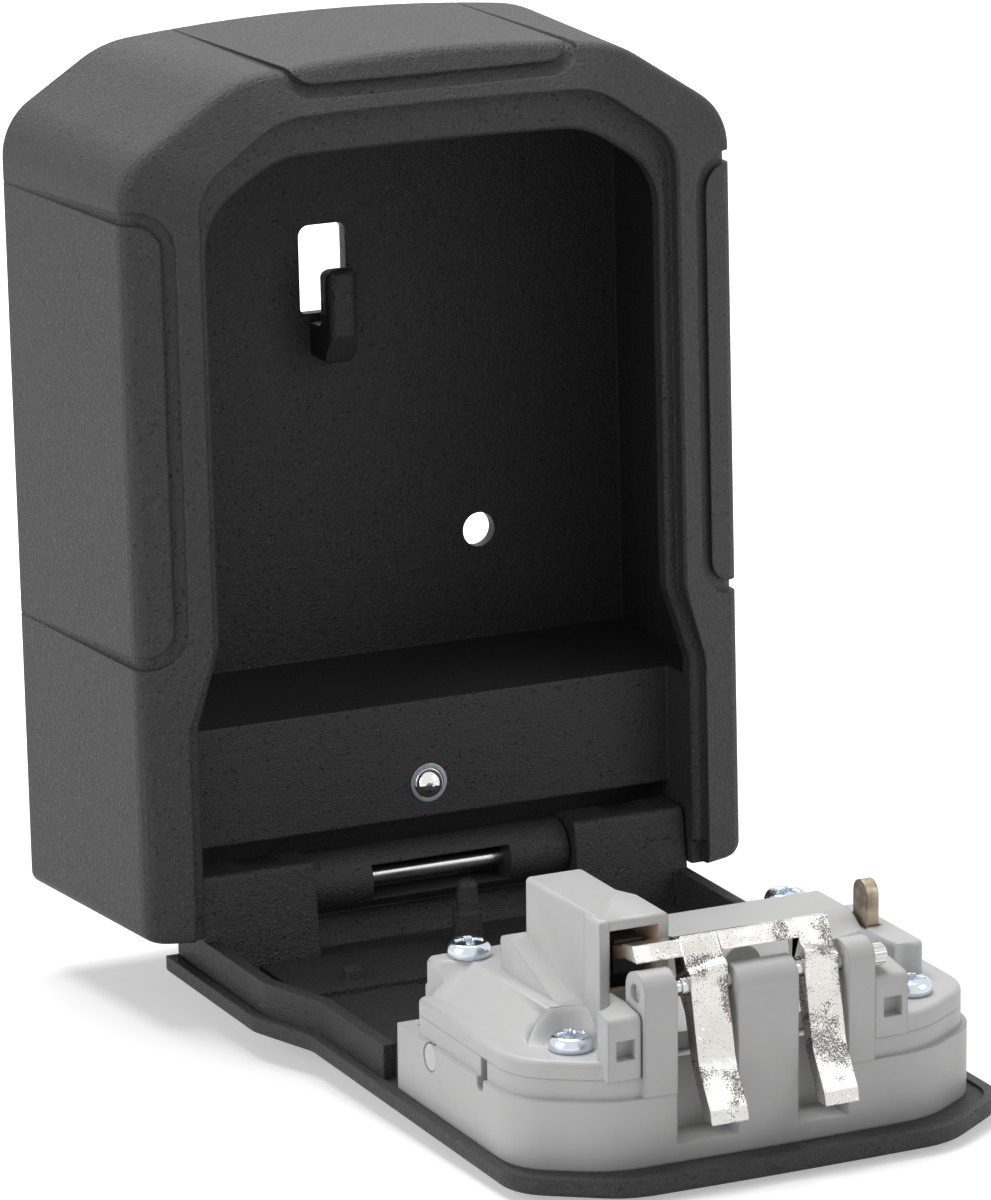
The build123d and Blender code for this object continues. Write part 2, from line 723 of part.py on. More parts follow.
def raised_body():
    """Raised body on the left, its sides sloping down to the flange, and the ramp that leans on the tower."""
    inner = tall_box_x[0] + 2.0
    foot = [
        (-31.3, 65.1), (-31.2, 70.0), (-30.4, 72.5), (-28.9, 95.5), (-26.0, 100.5), (inner, 100.5), (inner, 65.1),
    ]
    crest = [
        (-28.8, 65.1), (-28.6, 68.0), (-25.3, 69.8), (-24.9, 93.0), (-23.4, 97.0), (inner, 97.0), (inner, 65.1),
    ]
    low_face = front_plane(-inward(cover_top - 0.2)) * make_face(Polyline(*foot, close=True))
    high_face = front_plane(-inward(raised_top)) * make_face(Polyline(*crest, close=True))
    body = loft([low_face, high_face], ruled=True)
    body = fillet(body.faces().sort_by(Axis.Y)[-1].edges(), radius=0.7)
    body -= hs_block((-case_width, -rim_pocket_x), (60, cover_back), (0, 60))
    ramp = [(cover_top, 74.2), (24.6, 74.2), (24.6, 77.5), (raised_top - 0.4, 91.4), (cover_top, 91.4)]
    body += hs_rib(ramp, -23.2, inner, radii=[0, 1.0, 2.5, 0, 0])
    seat = RectangleRounded(9.0, 5.6, 1.5)
    return body + layer(Pos(22.0, 68.0) * seat, cover_top - 1, raised_top)


def slide_tower():
    """Tall box over the slide, narrower toward the hinge."""
    x0, x1 = tall_box_x
    s0, s1 = tall_box_s
    plan = FilletPolyline(
        (x0, s0), (x1 - tower_step, s0), (x1 - tower_step, 85.5), (x1, 88.5), (x1, s1), (x0, s1),
        radius=[0.8, 0.8, 1.5, 1.5, 0, 0], close=True,
    )
    tower = layer(make_face(plan), cover_top - 1, tall_box_top)
    return fillet(tower.faces().sort_by(Axis.Y)[-1].edges(), radius=0.6)


def wheel_hump():
    """Hump over the wheels and the lower block beside the reset lever."""
    low, high = wheel_well()
    low -= 0.9
    high = lever_x[0] - gap - 0.1
    hump = [(cover_top - 1, 69.3), (22.4, 69.9), (22.4, 80.0), (17.2, 88.2), (cover_top - 1, 88.2)]
    piece = hs_rib(hump, low, high, radii=[0, 1.2, 5.0, 1.0, 0])
    far = reset_block_front
    plan = Polyline((high - 0.1, 73.6), (reset_block_x, 73.6), (reset_block_x, far), (high - 0.1, far), close=True)
    side = layer(fillet(make_face(plan).vertices().group_by(Axis.X)[-1], radius=1.5), cover_top - 1, reset_block_top)
    side = fillet(side.faces().sort_by(Axis.Y)[-1].edges().filter_by(Axis.X, reverse=True), radius=0.7)
    return piece + side


def snap_blocks():
    """Blocks beside the outer pillars, each with a square snap window in its front."""
    left, right = pillar_edges
    front = opening_top - housing_front_gap - band_step
    profile = [
        (cover_top - 1, 90.0), (snap_top + 0.7, 90.0), (snap_top + 0.7, front - 4.6), (snap_top, front),
        (housing_top, front), (housing_top, front - 3.0), (cover_top - 1, front - 3.0),
    ]
    piece = None
    for x0, x1 in ((left - gap - 4.6, left - gap), (right + gap, right + gap + 4.8)):
        snap = hs_rib(profile, x0, x1, radii=[0, 0, 2.0, 1.0, 0, 0, 0])
        middle = (x0 + x1) / 2 + 0.2
        snap -= hs_block((middle - 1.3, middle + 1.3), (front - 1.6, front + 1), (16.5, 19.1))
        piece = snap if piece is None else piece + snap
    return piece


def cover_screws():
    """The four pan-head screws that hold the cover down."""
    screws = []
    for x, s, top in screw_spots:
        steps = [
            (0, screw_head_height), (1.2, screw_head_height), (2.2, 1.6), (screw_head_radius, 0.5),
            (screw_head_radius, 0), (screw_shank_radius, 0), (screw_shank_radius, screw_depth - top),
            (0, screw_depth - top),
        ]
        turned = revolve(make_face(Polyline(*steps, close=True)), axis=Axis.Y)
        screws.append(Pos(x, inward(top), s) * turned)
    return Compound(children=[opened(screw) for screw in screws])


def side_pin():
    """Steel pin whose splined end shows in the housing's side."""
    start = -half_opening + housing_gap + 0.1
    y = inward(side_pin_height)
    points = []
    for k in range(2 * spline_teeth):
        angle = math.pi * k / spline_teeth
        radius = side_pin_radius - (k % 2) * 0.25
        points.append((radius * math.cos(angle), radius * math.sin(angle)))
    plane = Plane(origin=(start, y, side_pin_z), x_dir=(0, 1, 0), z_dir=(1, 0, 0))
    splined = extrude(plane * make_face(Polyline(*points, close=True)), amount=1.4)
    return splined + rod_x(start + 1.4, start + 6.8, y, side_pin_z, side_pin_radius)


def latch_rod():
    left, right = pillar_edges
    return rod_x(left + 0.4, right + 0.6, inward(rod_height), rod_z, rod_radius)


def latch():
    """Cast latch: cross bar, tab for the slide and two arms with a bend at the rod and hooked feet."""
    arm = [
        (30.3, 101.4), (24.6, 104.5), (22.4, 105.0), (15.6, 106.6), (14.0, 107.2), (8.2, 109.9), (5.7, 110.4),
        (5.7, 108.0), (7.8, 107.6), (13.4, 105.2), (15.4, 104.4), (20.6, 102.9), (23.4, 100.9), (29.6, 99.2),
    ]
    body = None
    for x0, x1 in (latch_left_arm, latch_right_arm):
        eye = rod_x(x0, x1, inward(rod_height), rod_z, latch_boss_radius)
        piece = hs_rib(arm, x0, x1) + (eye & hs_block((x0, x1), (90, 104.7), (10, 40)))
        body = piece if body is None else body + piece
    bar = [(30.3, 101.4), (27.2, 103.0), (26.8, 101.0), (29.6, 99.2)]
    body += hs_rib(bar, latch_left_arm[0], latch_right_arm[1])
    tab = [(29.9, 101.3), (27.9, 102.4), (27.5, 98.0), (29.3, 98.0), (29.6, 99.2)]
    body += hs_rib(tab, latch_tab_end, latch_left_arm[0] + 0.2)
    tongue = [(29.2, 98.6), (27.5, 98.6), (26.6, 95.6), (28.4, 95.6)]
    body += hs_rib(tongue, latch_tab_end, tall_box_x[1] - box_wall - gap)
    for x0, x1 in (latch_left_arm, latch_right_arm):
        body -= rod_x(x0 - 1, x1 + 1, inward(rod_height), rod_z, rod_radius + fit_gap)
    return body


def open_slide():
    """Finger slide on the door's face with the stem that pushes the latch tab."""
    button = layer(Pos(-15.5, 83.9) * RectangleRounded(7.2, 20.8, 1.2), -1.0, 0.9)
    for n in range(4):
        button -= hs_block((-20, -10), (77.0 + 4.2 * n, 78.4 + 4.2 * n), (-2, -0.5))
    stem = hs_block((-16.8, -14.2), (79.0, 92.4), (0.8, 20.0))
    finger = hs_block((-17.4, -13.2), (86.5, 93.0), (19.0, 28.8))
    nose = hs_block((-17.4, -13.2), (92.0, 95.2), (24.4, 28.8))
    return button + stem + finger + nose


def open_spring():
    """Spring that draws the slide back, between the tower's end wall and the finger."""
    start = tall_box_s[0] + box_wall
    spring = coil(86.5 - start, 2.0, 0.6, 6)
    return Pos(-15.4, inward(25.0), start) * spring


def dial_axle():
    start = wheel_xs()[0] - wheel_width / 2 - 3.4
    return rod_x(start, lever_x[1] + reset_travel + 1.5, inward(wheel_axis_height), wheel_z, axle_radius)


def dial_wheel(n):
    """Number wheel with a flat for each digit and a finger notch between the flats."""
    x = wheel_xs()[n]
    y = inward(wheel_axis_height)
    points = []
    for k in range(wheel_faces):
        for turn, radius in ((-0.36, wheel_radius), (0.36, wheel_radius), (0.5, wheel_radius - wheel_notch)):
            angle = 2 * math.pi * (k + turn) / wheel_faces
            points.append((radius * math.cos(angle), radius * math.sin(angle)))
    plane = Plane(origin=(x - wheel_rim_width / 2, y, wheel_z), x_dir=(0, 1, 0), z_dir=(1, 0, 0))
    wheel = extrude(plane * make_face(Polyline(*points, close=True)), amount=wheel_rim_width)
    wheel += rod_x(x - wheel_width / 2, x + wheel_width / 2, y, wheel_z, wheel_shoulder_radius)
    return wheel - rod_x(x - 5, x + 5, y, wheel_z, sleeve_bore)


def code_sleeve(n):
    """Notched sleeve inside a number wheel."""
    x = wheel_xs()[n]
    y = inward(wheel_axis_height)
    sleeve = rod_x(x - wheel_width / 2, x + wheel_width / 2, y, wheel_z, sleeve_bore)
    sleeve -= rod_x(x - 5, x + 5, y, wheel_z, axle_radius + fit_gap)
    return sleeve - block((x - 5, x + 5), (y + sleeve_bore - 1.4, y + 6), (wheel_z - 0.8, wheel_z + 0.8))


def index_spring():
    """Comb of spring steel over the wheels."""
    low = wheel_xs()[0] - wheel_width / 2
    high = wheel_xs()[-1] + wheel_width / 2
    span = (wheel_z - comb_reach, wheel_z + comb_reach)
    comb = hs_block((low, high), span, (comb_height - comb_gauge, comb_height))
    for a, b in zip(wheel_xs(), wheel_xs()[1:]):
        mid = (a + b) / 2
        comb -= hs_block((mid - 0.4, mid + 0.4), (wheel_z - comb_reach - 1, wheel_z + 2.0), (0, 40))
    return comb


def reset_lever():
    """Flat lever that frees the sleeves when the code is changed, with an oblong hole for the axle."""
    y = inward(wheel_axis_height)
    x0, x1 = lever_x
    near, far = lever_plate_s
    lever = hs_rib([(5.0, near), (12.2, near), (12.2, far), (5.0, far)], x0, x1)
    stalk = [(11.0, lever_z[0]), (lever_top, lever_z[0]), (lever_top, lever_z[1]), (11.0, lever_z[1])]
    lever += hs_rib(stalk, x0, x1, radii=[0, 1.85, 1.85, 0])
    radius = axle_radius + fit_gap
    for shift in (0, reset_travel):
        lever -= rod_x(x0 - 1, x1 + 1, y, wheel_z + shift, radius)
    hole = (wheel_axis_height - radius, wheel_axis_height + radius)
    return lever - hs_block((x0 - 1, x1 + 1), (wheel_z, wheel_z + reset_travel), hole)


def main():
    os.makedirs("parts", exist_ok=True)
    pieces = {
        "case_shell": case_shell(),
        "hinge_pin": hinge_pin(),
        "plunger_sleeve": plunger_sleeve(),
        "kick_plunger": kick_plunger(),
        "kick_spring": kick_spring(),
        "cover_screws": cover_screws(),
    }
    on_door = {
        "door_plate": door_plate(),
        "lock_housing": lock_housing(),
        "lock_cover": lock_cover(),
        "side_pin": side_pin(),
        "latch_rod": latch_rod(),
        "latch": latch(),
        "open_slide": open_slide(),
        "open_spring": open_spring(),
        "dial_axle": dial_axle(),
        "index_spring": index_spring(),
        "reset_lever": reset_lever(),
    }
    for n in range(wheel_count):
        on_door[f"dial_wheel_{n + 1}"] = dial_wheel(n)
        on_door[f"code_sleeve_{n + 1}"] = code_sleeve(n)
    for name, shape in on_door.items():
        pieces[name] = opened(shape)
    for name, shape in pieces.items():
        export_step(Pos(0, 0, -screw_hole_z) * shape, f"parts/{name}.step")


main()
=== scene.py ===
import json
import math

import bmesh
import bpy
import numpy as np
from mathutils import Matrix, Vector


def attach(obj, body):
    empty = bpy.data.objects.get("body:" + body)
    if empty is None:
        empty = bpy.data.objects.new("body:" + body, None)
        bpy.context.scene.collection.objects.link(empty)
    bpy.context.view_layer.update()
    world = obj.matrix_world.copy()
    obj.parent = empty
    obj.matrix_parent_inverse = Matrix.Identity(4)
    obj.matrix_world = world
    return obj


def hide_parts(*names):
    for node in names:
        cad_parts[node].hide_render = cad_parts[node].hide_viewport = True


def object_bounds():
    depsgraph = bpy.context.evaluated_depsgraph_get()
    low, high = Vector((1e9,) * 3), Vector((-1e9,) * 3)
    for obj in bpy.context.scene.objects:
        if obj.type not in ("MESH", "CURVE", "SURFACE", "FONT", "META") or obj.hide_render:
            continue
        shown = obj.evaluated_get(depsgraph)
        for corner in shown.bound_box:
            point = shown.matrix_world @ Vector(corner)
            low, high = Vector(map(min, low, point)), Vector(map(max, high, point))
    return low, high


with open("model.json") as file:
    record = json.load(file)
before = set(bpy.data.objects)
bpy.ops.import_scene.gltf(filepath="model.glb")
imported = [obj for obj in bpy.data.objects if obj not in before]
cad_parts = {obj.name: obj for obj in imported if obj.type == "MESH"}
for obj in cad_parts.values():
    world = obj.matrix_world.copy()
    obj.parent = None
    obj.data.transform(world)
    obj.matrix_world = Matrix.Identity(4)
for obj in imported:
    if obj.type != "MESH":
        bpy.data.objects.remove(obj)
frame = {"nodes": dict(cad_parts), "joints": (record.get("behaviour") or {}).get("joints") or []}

bl_info = {
    "name": "Combination key safe looks",
    "version": (1, 0, 0),
    "blender": (4, 5, 0),
    "location": "3D View > Sidebar > Key safe",
    "description": "Finishes, fine pieces, light and camera for the open combination key safe",
    "category": "Object",
}

# The CAD's box, the door's hinge and where the shut door's outer face and the holes lie, in metres
CAD_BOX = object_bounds()
MM = 0.001
JOINTS = {joint["name"]: joint for joint in frame["joints"]}
HINGE = Vector(JOINTS["door_hinge"]["pos_m"])
OPEN_ANGLE = math.radians(JOINTS["door_hinge"]["range_deg"][1])
DOOR_FACE = 41.5 * MM
SCREW_HOLE_Z = 43.2 * MM

# Meshes: distances in metres, and the angle in degrees below which faces are joined
DOUBLES = 1e-6
SHORT_EDGE = 1e-7
CAD_DOUBLES = 2e-6
FLAT_ANGLE = 0.6
CAD_SHARP_ANGLE = 30.0

# Heights of the cover's two levels, in mm from the door's outer face, as all h below
FLANGE_TOP = 16.2
RAISED_TOP = 20.0

# Radius in mm at which a turned piece is closed
CLOSED_END = 0.001

# Cover screws: x, s, the height each sits on and the turn of its recess in radians
COVER_SCREWS = (
    (-24.5, 67.5, RAISED_TOP, 0.3),
    (22.0, 67.5, RAISED_TOP, 0.9),
    (-24.4, 97.0, FLANGE_TOP, 0.15),
    (24.4, 97.0, FLANGE_TOP, 0.6),
)

# Screw head in mm, with heights above its seat. The underside is radius and height above the seat,
# and the shank's tip is radius and h
DOME_RADIUS = 2.0
DOME_TOP = 2.1
DOME_DROP = 0.2
RIM_WIDTH = 0.9
RIM_FOOT = 0.6
RIM_HEIGHT = 1.3
HEAD_UNDERSIDE = ((2.9, 0.12), (2.8, 0.0), (1.25, 0.0))
SHANK_TIP = ((1.25, 5.2), (0.9, 4.6), (CLOSED_END, 4.6))
RECESS_DEPTH = 1.7
RECESS_LOWEST = 1.0
RECESS_HALF_WIDTH = 0.46
RECESS_REACH = 1.75
RECESS_BLENDS = (0.2, 0.24)
RECESS_RISE = 0.22
PIT_RADIUS = 0.75
PIT_BLEND = 0.4
PIT_SHARE = 0.95
HEAD_COLUMNS = 144
DOME_ROWS = 44
RIM_ROWS = 15

# Latch rod: its middle, its profile as x and radius, and the splines on its right end
ROD_S = 103.0
ROD_H = 24.3
ROD_PROFILE = (
    (-18.0, CLOSED_END), (-17.99, 1.0), (-17.7, 1.25),
    (-12.9, 1.25), (-12.85, 1.18), (-12.8, 0.98), (-12.3, 0.98), (-12.25, 1.18), (-12.2, 1.25),
    (14.3, 1.25), (14.35, 1.3), (14.4, 1.34), (16.8, 1.34), (17.09, 1.1), (17.1, CLOSED_END),
)
SPLINES = 14.0
SPLINE_HEIGHT = 0.13
SPLINE_BLEND = 0.9
SPLINE_RANGE = (14.38, 16.9)
ROD_COLUMNS = 140

# Latch: the heights squeezed to shorten its feet, and the box round its cross bar's underside
FEET_RANGE = (5.7, 14.0)
FEET_RISE = 2.2
BAR_UNDERSIDE = ((-6.11, 4.91), (100.5, 120.0), (26.0, 27.4))
BAR_RISE = 1.0
LATCH_EDGE = 0.45 * MM

# Cover: boxes round the tower's hollow, which is painted with a warm glow of light through the plastic, the
# left snap block's rear end and the tower's corner
TOWER_GLOW_BOX = ((-19.0, -11.9), (87.7, 96.9), (17.0, 30.9))
SNAP_REAR = ((-24.0, -20.29), (89.9, 95.0), (20.1, 22.9))
TOWER_CORNER = ((-20.32, -18.95), (92.6, 97.02), (16.3, 32.19))
TOWER_RIM = 0.6
TOWER_ROWS = 7

# Slope at the raised body's left: the x and s where each line starts, and its slant
SLOPE_FOOT = (-30.4, 72.5, 0.0652)
SLOPE_CREST = (-25.3, 69.8, 0.0172)

# Scoop round the front left screw, its turns in degrees and the fades at its ends in radians
SCOOP_MIDDLE = COVER_SCREWS[2][:2]
SCOOP_TURN = (-165.0, 64.0)
SCOOP_FULL = (-155.0, 56.0)
SCOOP_FADES = (0.35, 0.28)
SCOOP_RADII = (3.1, 5.6)
SCOOP_WALL_RADIUS = 4.35
SCOOP_WALL_WIDTH = 2.5
SCOOP_SLOPE_END = 95.0
SCOOP_SINK = 0.05
SCOOP_LIFT = 0.04
SCOOP_FOOT = 16.0
SCOOP_ROWS = 72
SCOOP_COLUMNS = 22

# Wheels, with the distance from their axis to a flat, and the digits on the flats, in mm
WHEEL_XS = (2.6, 8.6, 14.6, 20.6)
WHEEL_S = 78.0
WHEEL_H = 8.0
WHEEL_FLAT = 8.186
DIGIT_SIZE = 3.9
DIGIT_RISE = 0.03
DIGIT_STEPS = 4

# Finishes, with the edge in metres
PLASTIC_ROUGHNESS = 0.42
PLASTIC_EDGE = 0.00045
CHROME = (0.82, 0.81, 0.79, 1.0)
WHITE = (1.0, 1.0, 1.0, 1.0)

# Floor, in metres, and how much it glows near the object and away from it
FLOOR_DROP = 0.0004
FLOOR_HALF = 6.0
FLOOR_COLOUR = (0.82, 0.82, 0.82, 1.0)
FLOOR_SHIFT = (0.0, 0.06)
FLOOR_FADE = (0.09, 0.3)
NEAR_GLOW = 0.2
CAMERA_GLOW = 0.4
REFLECTED_GLOW = 0.2

# Lamps, in metres: name, place and the setting that holds the power
LAMPS = (
    ("Key lamp", (-0.95, -0.15, 0.34), "key"),
    ("Fill lamp", (0.7, -0.75, 0.45), "fill"),
    ("Top lamp", (0.0, 0.22, 0.88), "top"),
)
LAMP_SIZE = 0.6
LAMP_AIM = (0.0, -0.05, 0.0)

# Camera of the photograph, in degrees and metres, its lens and sensor in mm
CAMERA_TURN = -25.3821
CAMERA_LIFT = 13.3862
CAMERA_ROLL = -1.4201
CAMERA_TARGET = (0.0, -0.030, 0.055 - SCREW_HOLE_Z)
CAMERA_DISTANCE = 0.93363
CAMERA_RIGHT = 0.010784
CAMERA_DOWN = 0.013335
CAMERA_LENS = 202.85
CAMERA_SENSOR = 36.0
CAMERA_REACH = 20.0


def door_matrix():
    """Turn of the door about the hinge, from shut to the open position it is packed in."""
    turn = Matrix.Rotation(OPEN_ANGLE, 4, "X")
    return Matrix.Translation(HINGE) @ turn @ Matrix.Translation(-HINGE)


def door_points(x, s, h):
    """World points for places on the door, given in mm.

    x runs across, s up the shut door and h inward from its outer face.
    """
    points = np.stack(np.broadcast_arrays(x * MM, h * MM - DOOR_FACE, s * MM - SCREW_HOLE_Z), axis=-1)
    turn = np.array(door_matrix())
    return points @ turn[:3, :3].T + turn[:3, 3]


def door_coordinates(points):
    """Door coordinates x, s and h in mm of world points: the reverse of door_points."""
    back = np.array(door_matrix().inverted())
    shut = points @ back[:3, :3].T + back[:3, 3]
    return shut[:, 0] / MM, (shut[:, 2] + SCREW_HOLE_Z) / MM, (shut[:, 1] + DOOR_FACE) / MM


def smooth_step(value, width):
    """Zero below minus half the width, one above plus half of it, and a smooth rise between."""
    share = np.clip(value / width + 0.5, 0.0, 1.0)
    return share * share * (3.0 - 2.0 * share)


# Meshes

def link_mesh(name, mesh, angle=None):
    """New object for a mesh, smooth but for edges sharper than the angle, or flat with no angle."""
    piece = bpy.data.objects.new(name, mesh)
    bpy.context.scene.collection.objects.link(piece)
    if angle is not None:
        mesh.shade_smooth()
        mesh.set_sharp_from_angle(angle=math.radians(angle))
    return piece


def finish_mesh(name, mesh, angle=None):
    """Merges doubles, turns the faces outward and links the mesh as an object at the origin."""
    work = bmesh.new()
    work.from_mesh(mesh)
    bmesh.ops.remove_doubles(work, verts=work.verts, dist=DOUBLES)
    bmesh.ops.dissolve_degenerate(work, edges=work.edges, dist=SHORT_EDGE)
    bmesh.ops.recalc_face_normals(work, faces=work.faces)
    work.to_mesh(mesh)
    work.free()
    return link_mesh(name, mesh, angle)


def grid_faces(rows, columns, wrap):
    """Quads of a grid of points, closed in the column direction when wrap is true."""
    row = np.arange(rows - 1)[:, None] * columns
    column = np.arange(columns if wrap else columns - 1)[None, :]
    following = (column + 1) % columns
    corners = (row + column, row + following, row + columns + following, row + columns + column)
    return np.stack(corners, axis=-1).reshape(-1, 4)


def surface_piece(name, points, wrap=True, angle=35.0):
    """Mesh object from a grid of world points, rows by columns by 3, with its normals turned outward."""
    rows, columns = points.shape[:2]
    mesh = bpy.data.meshes.new(name)
    mesh.from_pydata(points.reshape(-1, 3).tolist(), [], grid_faces(rows, columns, wrap).tolist())
    return finish_mesh(name, mesh, angle)


def end_caps(points):
    """Middles of a grid's first and last rows, each repeated to the length of a row."""
    return points[[0, -1]].mean(axis=1, keepdims=True).repeat(points.shape[1], axis=1)


def node_copy(node, name):
    """Merged copy of a CAD node's mesh, its flat areas joined into single faces."""
    work = bmesh.new()
    work.from_mesh(frame["nodes"][node].data)
    bmesh.ops.remove_doubles(work, verts=work.verts, dist=CAD_DOUBLES)
    flat = math.radians(FLAT_ANGLE)
    bmesh.ops.dissolve_limit(work, angle_limit=flat, verts=work.verts, edges=work.edges)
    mesh = bpy.data.meshes.new(name)
    work.to_mesh(mesh)
    work.free()
    return link_mesh(name, mesh, CAD_SHARP_ANGLE)


def reshaped_copy(node, name, heights):
    """Merged copy of a CAD node on the door, whose heights come from a function of x, s and h."""
    piece = node_copy(node, name)
    places = np.empty(len(piece.data.vertices) * 3)
    piece.data.vertices.foreach_get("co", places)
    x, s, h = door_coordinates(places.reshape(-1, 3))
    piece.data.vertices.foreach_set("co", door_points(x, s, heights(x, s, h)).ravel())
    piece.data.update()
    return piece


def inside_box(place, box):
    """True for each point whose x, s and h lie between a box's limits."""
    inside = np.ones(len(place[0]), dtype=bool)
    for value, (low, high) in zip(place, box):
        inside &= (value > low) & (value < high)
    return inside


def latch_heights(x, s, h):
    """Heights of a latch with shorter feet and a thinner cross bar than the CAD's.

    Heights below the arms' bend are squeezed evenly toward it, and between the arms the bar's
    underside is moved up by a fixed rise.
    """
    low, bend = FEET_RANGE
    share = np.clip((bend - h) / (bend - low), 0.0, 1.0)
    h = h + FEET_RISE * share
    return np.where(inside_box((x, s, h), BAR_UNDERSIDE), h + BAR_RISE, h)


def cover_heights(x, s, h):
    """Heights of a cover whose left snap block's rear end is down at the raised body's top.

    Every point inside the block's rear end takes the raised top's height, and no other point moves.
    """
    return np.where(inside_box((x, s, h), SNAP_REAR), RAISED_TOP, h)


def soften(piece, width, segments, angle):
    """Rounds the edges of a piece that are sharper than an angle."""
    bevel = piece.modifiers.new("Soft edges", "BEVEL")
    bevel.width = width
    bevel.segments = segments
    bevel.limit_method = "ANGLE"
    bevel.angle_limit = math.radians(angle)
    bevel.harden_normals = True
    bevel.miter_outer = "MITER_ARC"
    return piece


def latch_piece(name):
    """Latch with soft edges, from the CAD's latch with its heights changed."""
    return soften(reshaped_copy("latch", name, latch_heights), width=LATCH_EDGE, segments=3, angle=30.0)


def cover_piece(name):
    """Lock cover from the CAD's, with its heights changed."""
    return reshaped_copy("lock_cover", name, cover_heights)


def screw_head(name, x, s, top, turn):
    """Pan-head screw with a cross recess, as a turned surface over radius and angle.

    Height is a shallow dome inside the dome's radius, a quarter ellipse beyond it, and the recess
    is taken from it inside two crossed bars whose floor rises toward their ends, and in a pit
    where they cross.
    """
    angles = np.linspace(0.0, 2.0 * np.pi, HEAD_COLUMNS, endpoint=False)[None, :]
    inner = np.linspace(0.0, DOME_RADIUS, DOME_ROWS)[1:]
    rim = np.linspace(0.0, np.pi / 2, RIM_ROWS)[1:]
    dome = DOME_TOP - DOME_DROP * (inner / DOME_RADIUS) ** 2
    under = np.array(HEAD_UNDERSIDE)
    tip = np.array(SHANK_TIP) - (0.0, top)
    radii = [[CLOSED_END], inner, DOME_RADIUS + RIM_WIDTH * np.sin(rim), under[:, 0], tip[:, 0]]
    heights = [[DOME_TOP], dome, RIM_FOOT + RIM_HEIGHT * np.cos(rim), under[:, 1], tip[:, 1]]
    radius = np.concatenate(radii)[:, None]
    height = np.concatenate(heights)[:, None]
    across = radius * np.cos(angles)
    along = radius * np.sin(angles)
    bars = []
    for side, length in ((np.abs(across), np.abs(along)), (np.abs(along), np.abs(across))):
        within_width = smooth_step(RECESS_HALF_WIDTH - side, RECESS_BLENDS[0])
        within_reach = smooth_step(RECESS_REACH - length, RECESS_BLENDS[1])
        bars.append(within_width * within_reach * (1.0 - RECESS_RISE * length))
    pit = smooth_step(PIT_RADIUS - radius, PIT_BLEND)
    recess = RECESS_DEPTH * np.maximum(np.maximum(*bars), pit * PIT_SHARE) * (height > RECESS_LOWEST)
    turned_x = across * math.cos(turn) - along * math.sin(turn)
    turned_s = across * math.sin(turn) + along * math.cos(turn)
    points = door_points(x + turned_x, s + turned_s, top + height - recess)
    return surface_piece(name, points, angle=58.0)


def rod_piece(name, s, h):
    """Latch rod along X: radius is constant but for two chamfers, a ring groove and a splined end."""
    x, base = np.array(ROD_PROFILE).T[:, :, None]
    angles = np.linspace(0.0, 2.0 * np.pi, ROD_COLUMNS, endpoint=False)[None, :]
    splined = (x > SPLINE_RANGE[0]) & (x < SPLINE_RANGE[1])
    radius = base + SPLINE_HEIGHT * smooth_step(np.cos(SPLINES * angles), SPLINE_BLEND) * splined
    points = door_points(x + 0.0 * angles, s + radius * np.cos(angles), h + radius * np.sin(angles))
    return surface_piece(name, points)


def tower_corner(name):
    """Front left corner of the slide's tower, where the screw's scoop has cut into its wall.

    A rectangle is carried up from the flange, and its outer and front sides turn in along a quarter
    circle at the top.
    """
    (x0, x1), (s0, s1), (low, high) = TOWER_CORNER
    rim = np.linspace(0.0, np.pi / 2, TOWER_ROWS)
    inset = np.concatenate([[0.0], TOWER_RIM * (1.0 - np.cos(rim))])[:, None]
    height = np.concatenate([[low], high - TOWER_RIM + TOWER_RIM * np.sin(rim)])[:, None]
    x = np.concatenate([x0 + inset, x1 + 0.0 * inset, x1 + 0.0 * inset, x0 + inset], axis=1)
    s = np.concatenate([s0 + 0.0 * inset, s0 + 0.0 * inset, s1 - inset, s1 - inset], axis=1)
    points = door_points(x, s, height)
    caps = end_caps(points)
    return surface_piece(name, np.concatenate([caps[:1], points, caps[1:]]))


def line_x(line, s):
    """x at s on a straight line over the cover, which starts at an x and s and has a slant."""
    start_x, start_s, slant = line
    return start_x + (s - start_s) * slant


def slope_height(x, s):
    """Height of the raised body's top: level inside the crest line and falling evenly to the foot line."""
    foot = line_x(SLOPE_FOOT, s)
    crest = line_x(SLOPE_CREST, s)
    return FLANGE_TOP + (RAISED_TOP - FLANGE_TOP) * np.clip((x - foot) / (crest - foot), 0.0, 1.0)


def scoop_piece(name):
    """Soft wall of the scoop round the front left screw, over the angle and the radius from the screw.

    Height rises from the flange to the raised body's top along a smooth step of the radius, and
    fades away at both ends of the turn.
    """
    middle_x, middle_s = SCOOP_MIDDLE
    angle = np.radians(np.linspace(*SCOOP_TURN, SCOOP_ROWS))[:, None]
    radius = np.linspace(*SCOOP_RADII, SCOOP_COLUMNS)[None, :]
    edge_x = middle_x + SCOOP_RADII[1] * np.cos(angle)
    edge_s = middle_s + SCOOP_RADII[1] * np.sin(angle)
    first = smooth_step(angle - math.radians(SCOOP_FULL[0]), SCOOP_FADES[0])
    last = smooth_step(math.radians(SCOOP_FULL[1]) - angle, SCOOP_FADES[1])
    top = (slope_height(edge_x, np.minimum(edge_s, SCOOP_SLOPE_END)) - FLANGE_TOP) * (first * last)
    share = smooth_step(radius - SCOOP_WALL_RADIUS, SCOOP_WALL_WIDTH)
    height = FLANGE_TOP - SCOOP_SINK + (top + SCOOP_LIFT) * share
    r = np.concatenate([radius, radius[:, [-1, 0]]], axis=1) + 0.0 * angle
    h = np.concatenate([height, 0.0 * angle + SCOOP_FOOT, 0.0 * angle + SCOOP_FOOT], axis=1)
    points = door_points(middle_x + r * np.cos(angle), middle_s + r * np.sin(angle), h)
    caps = end_caps(points)
    return surface_piece(name, np.concatenate([caps[:1], points, caps[1:]]), angle=50.0)


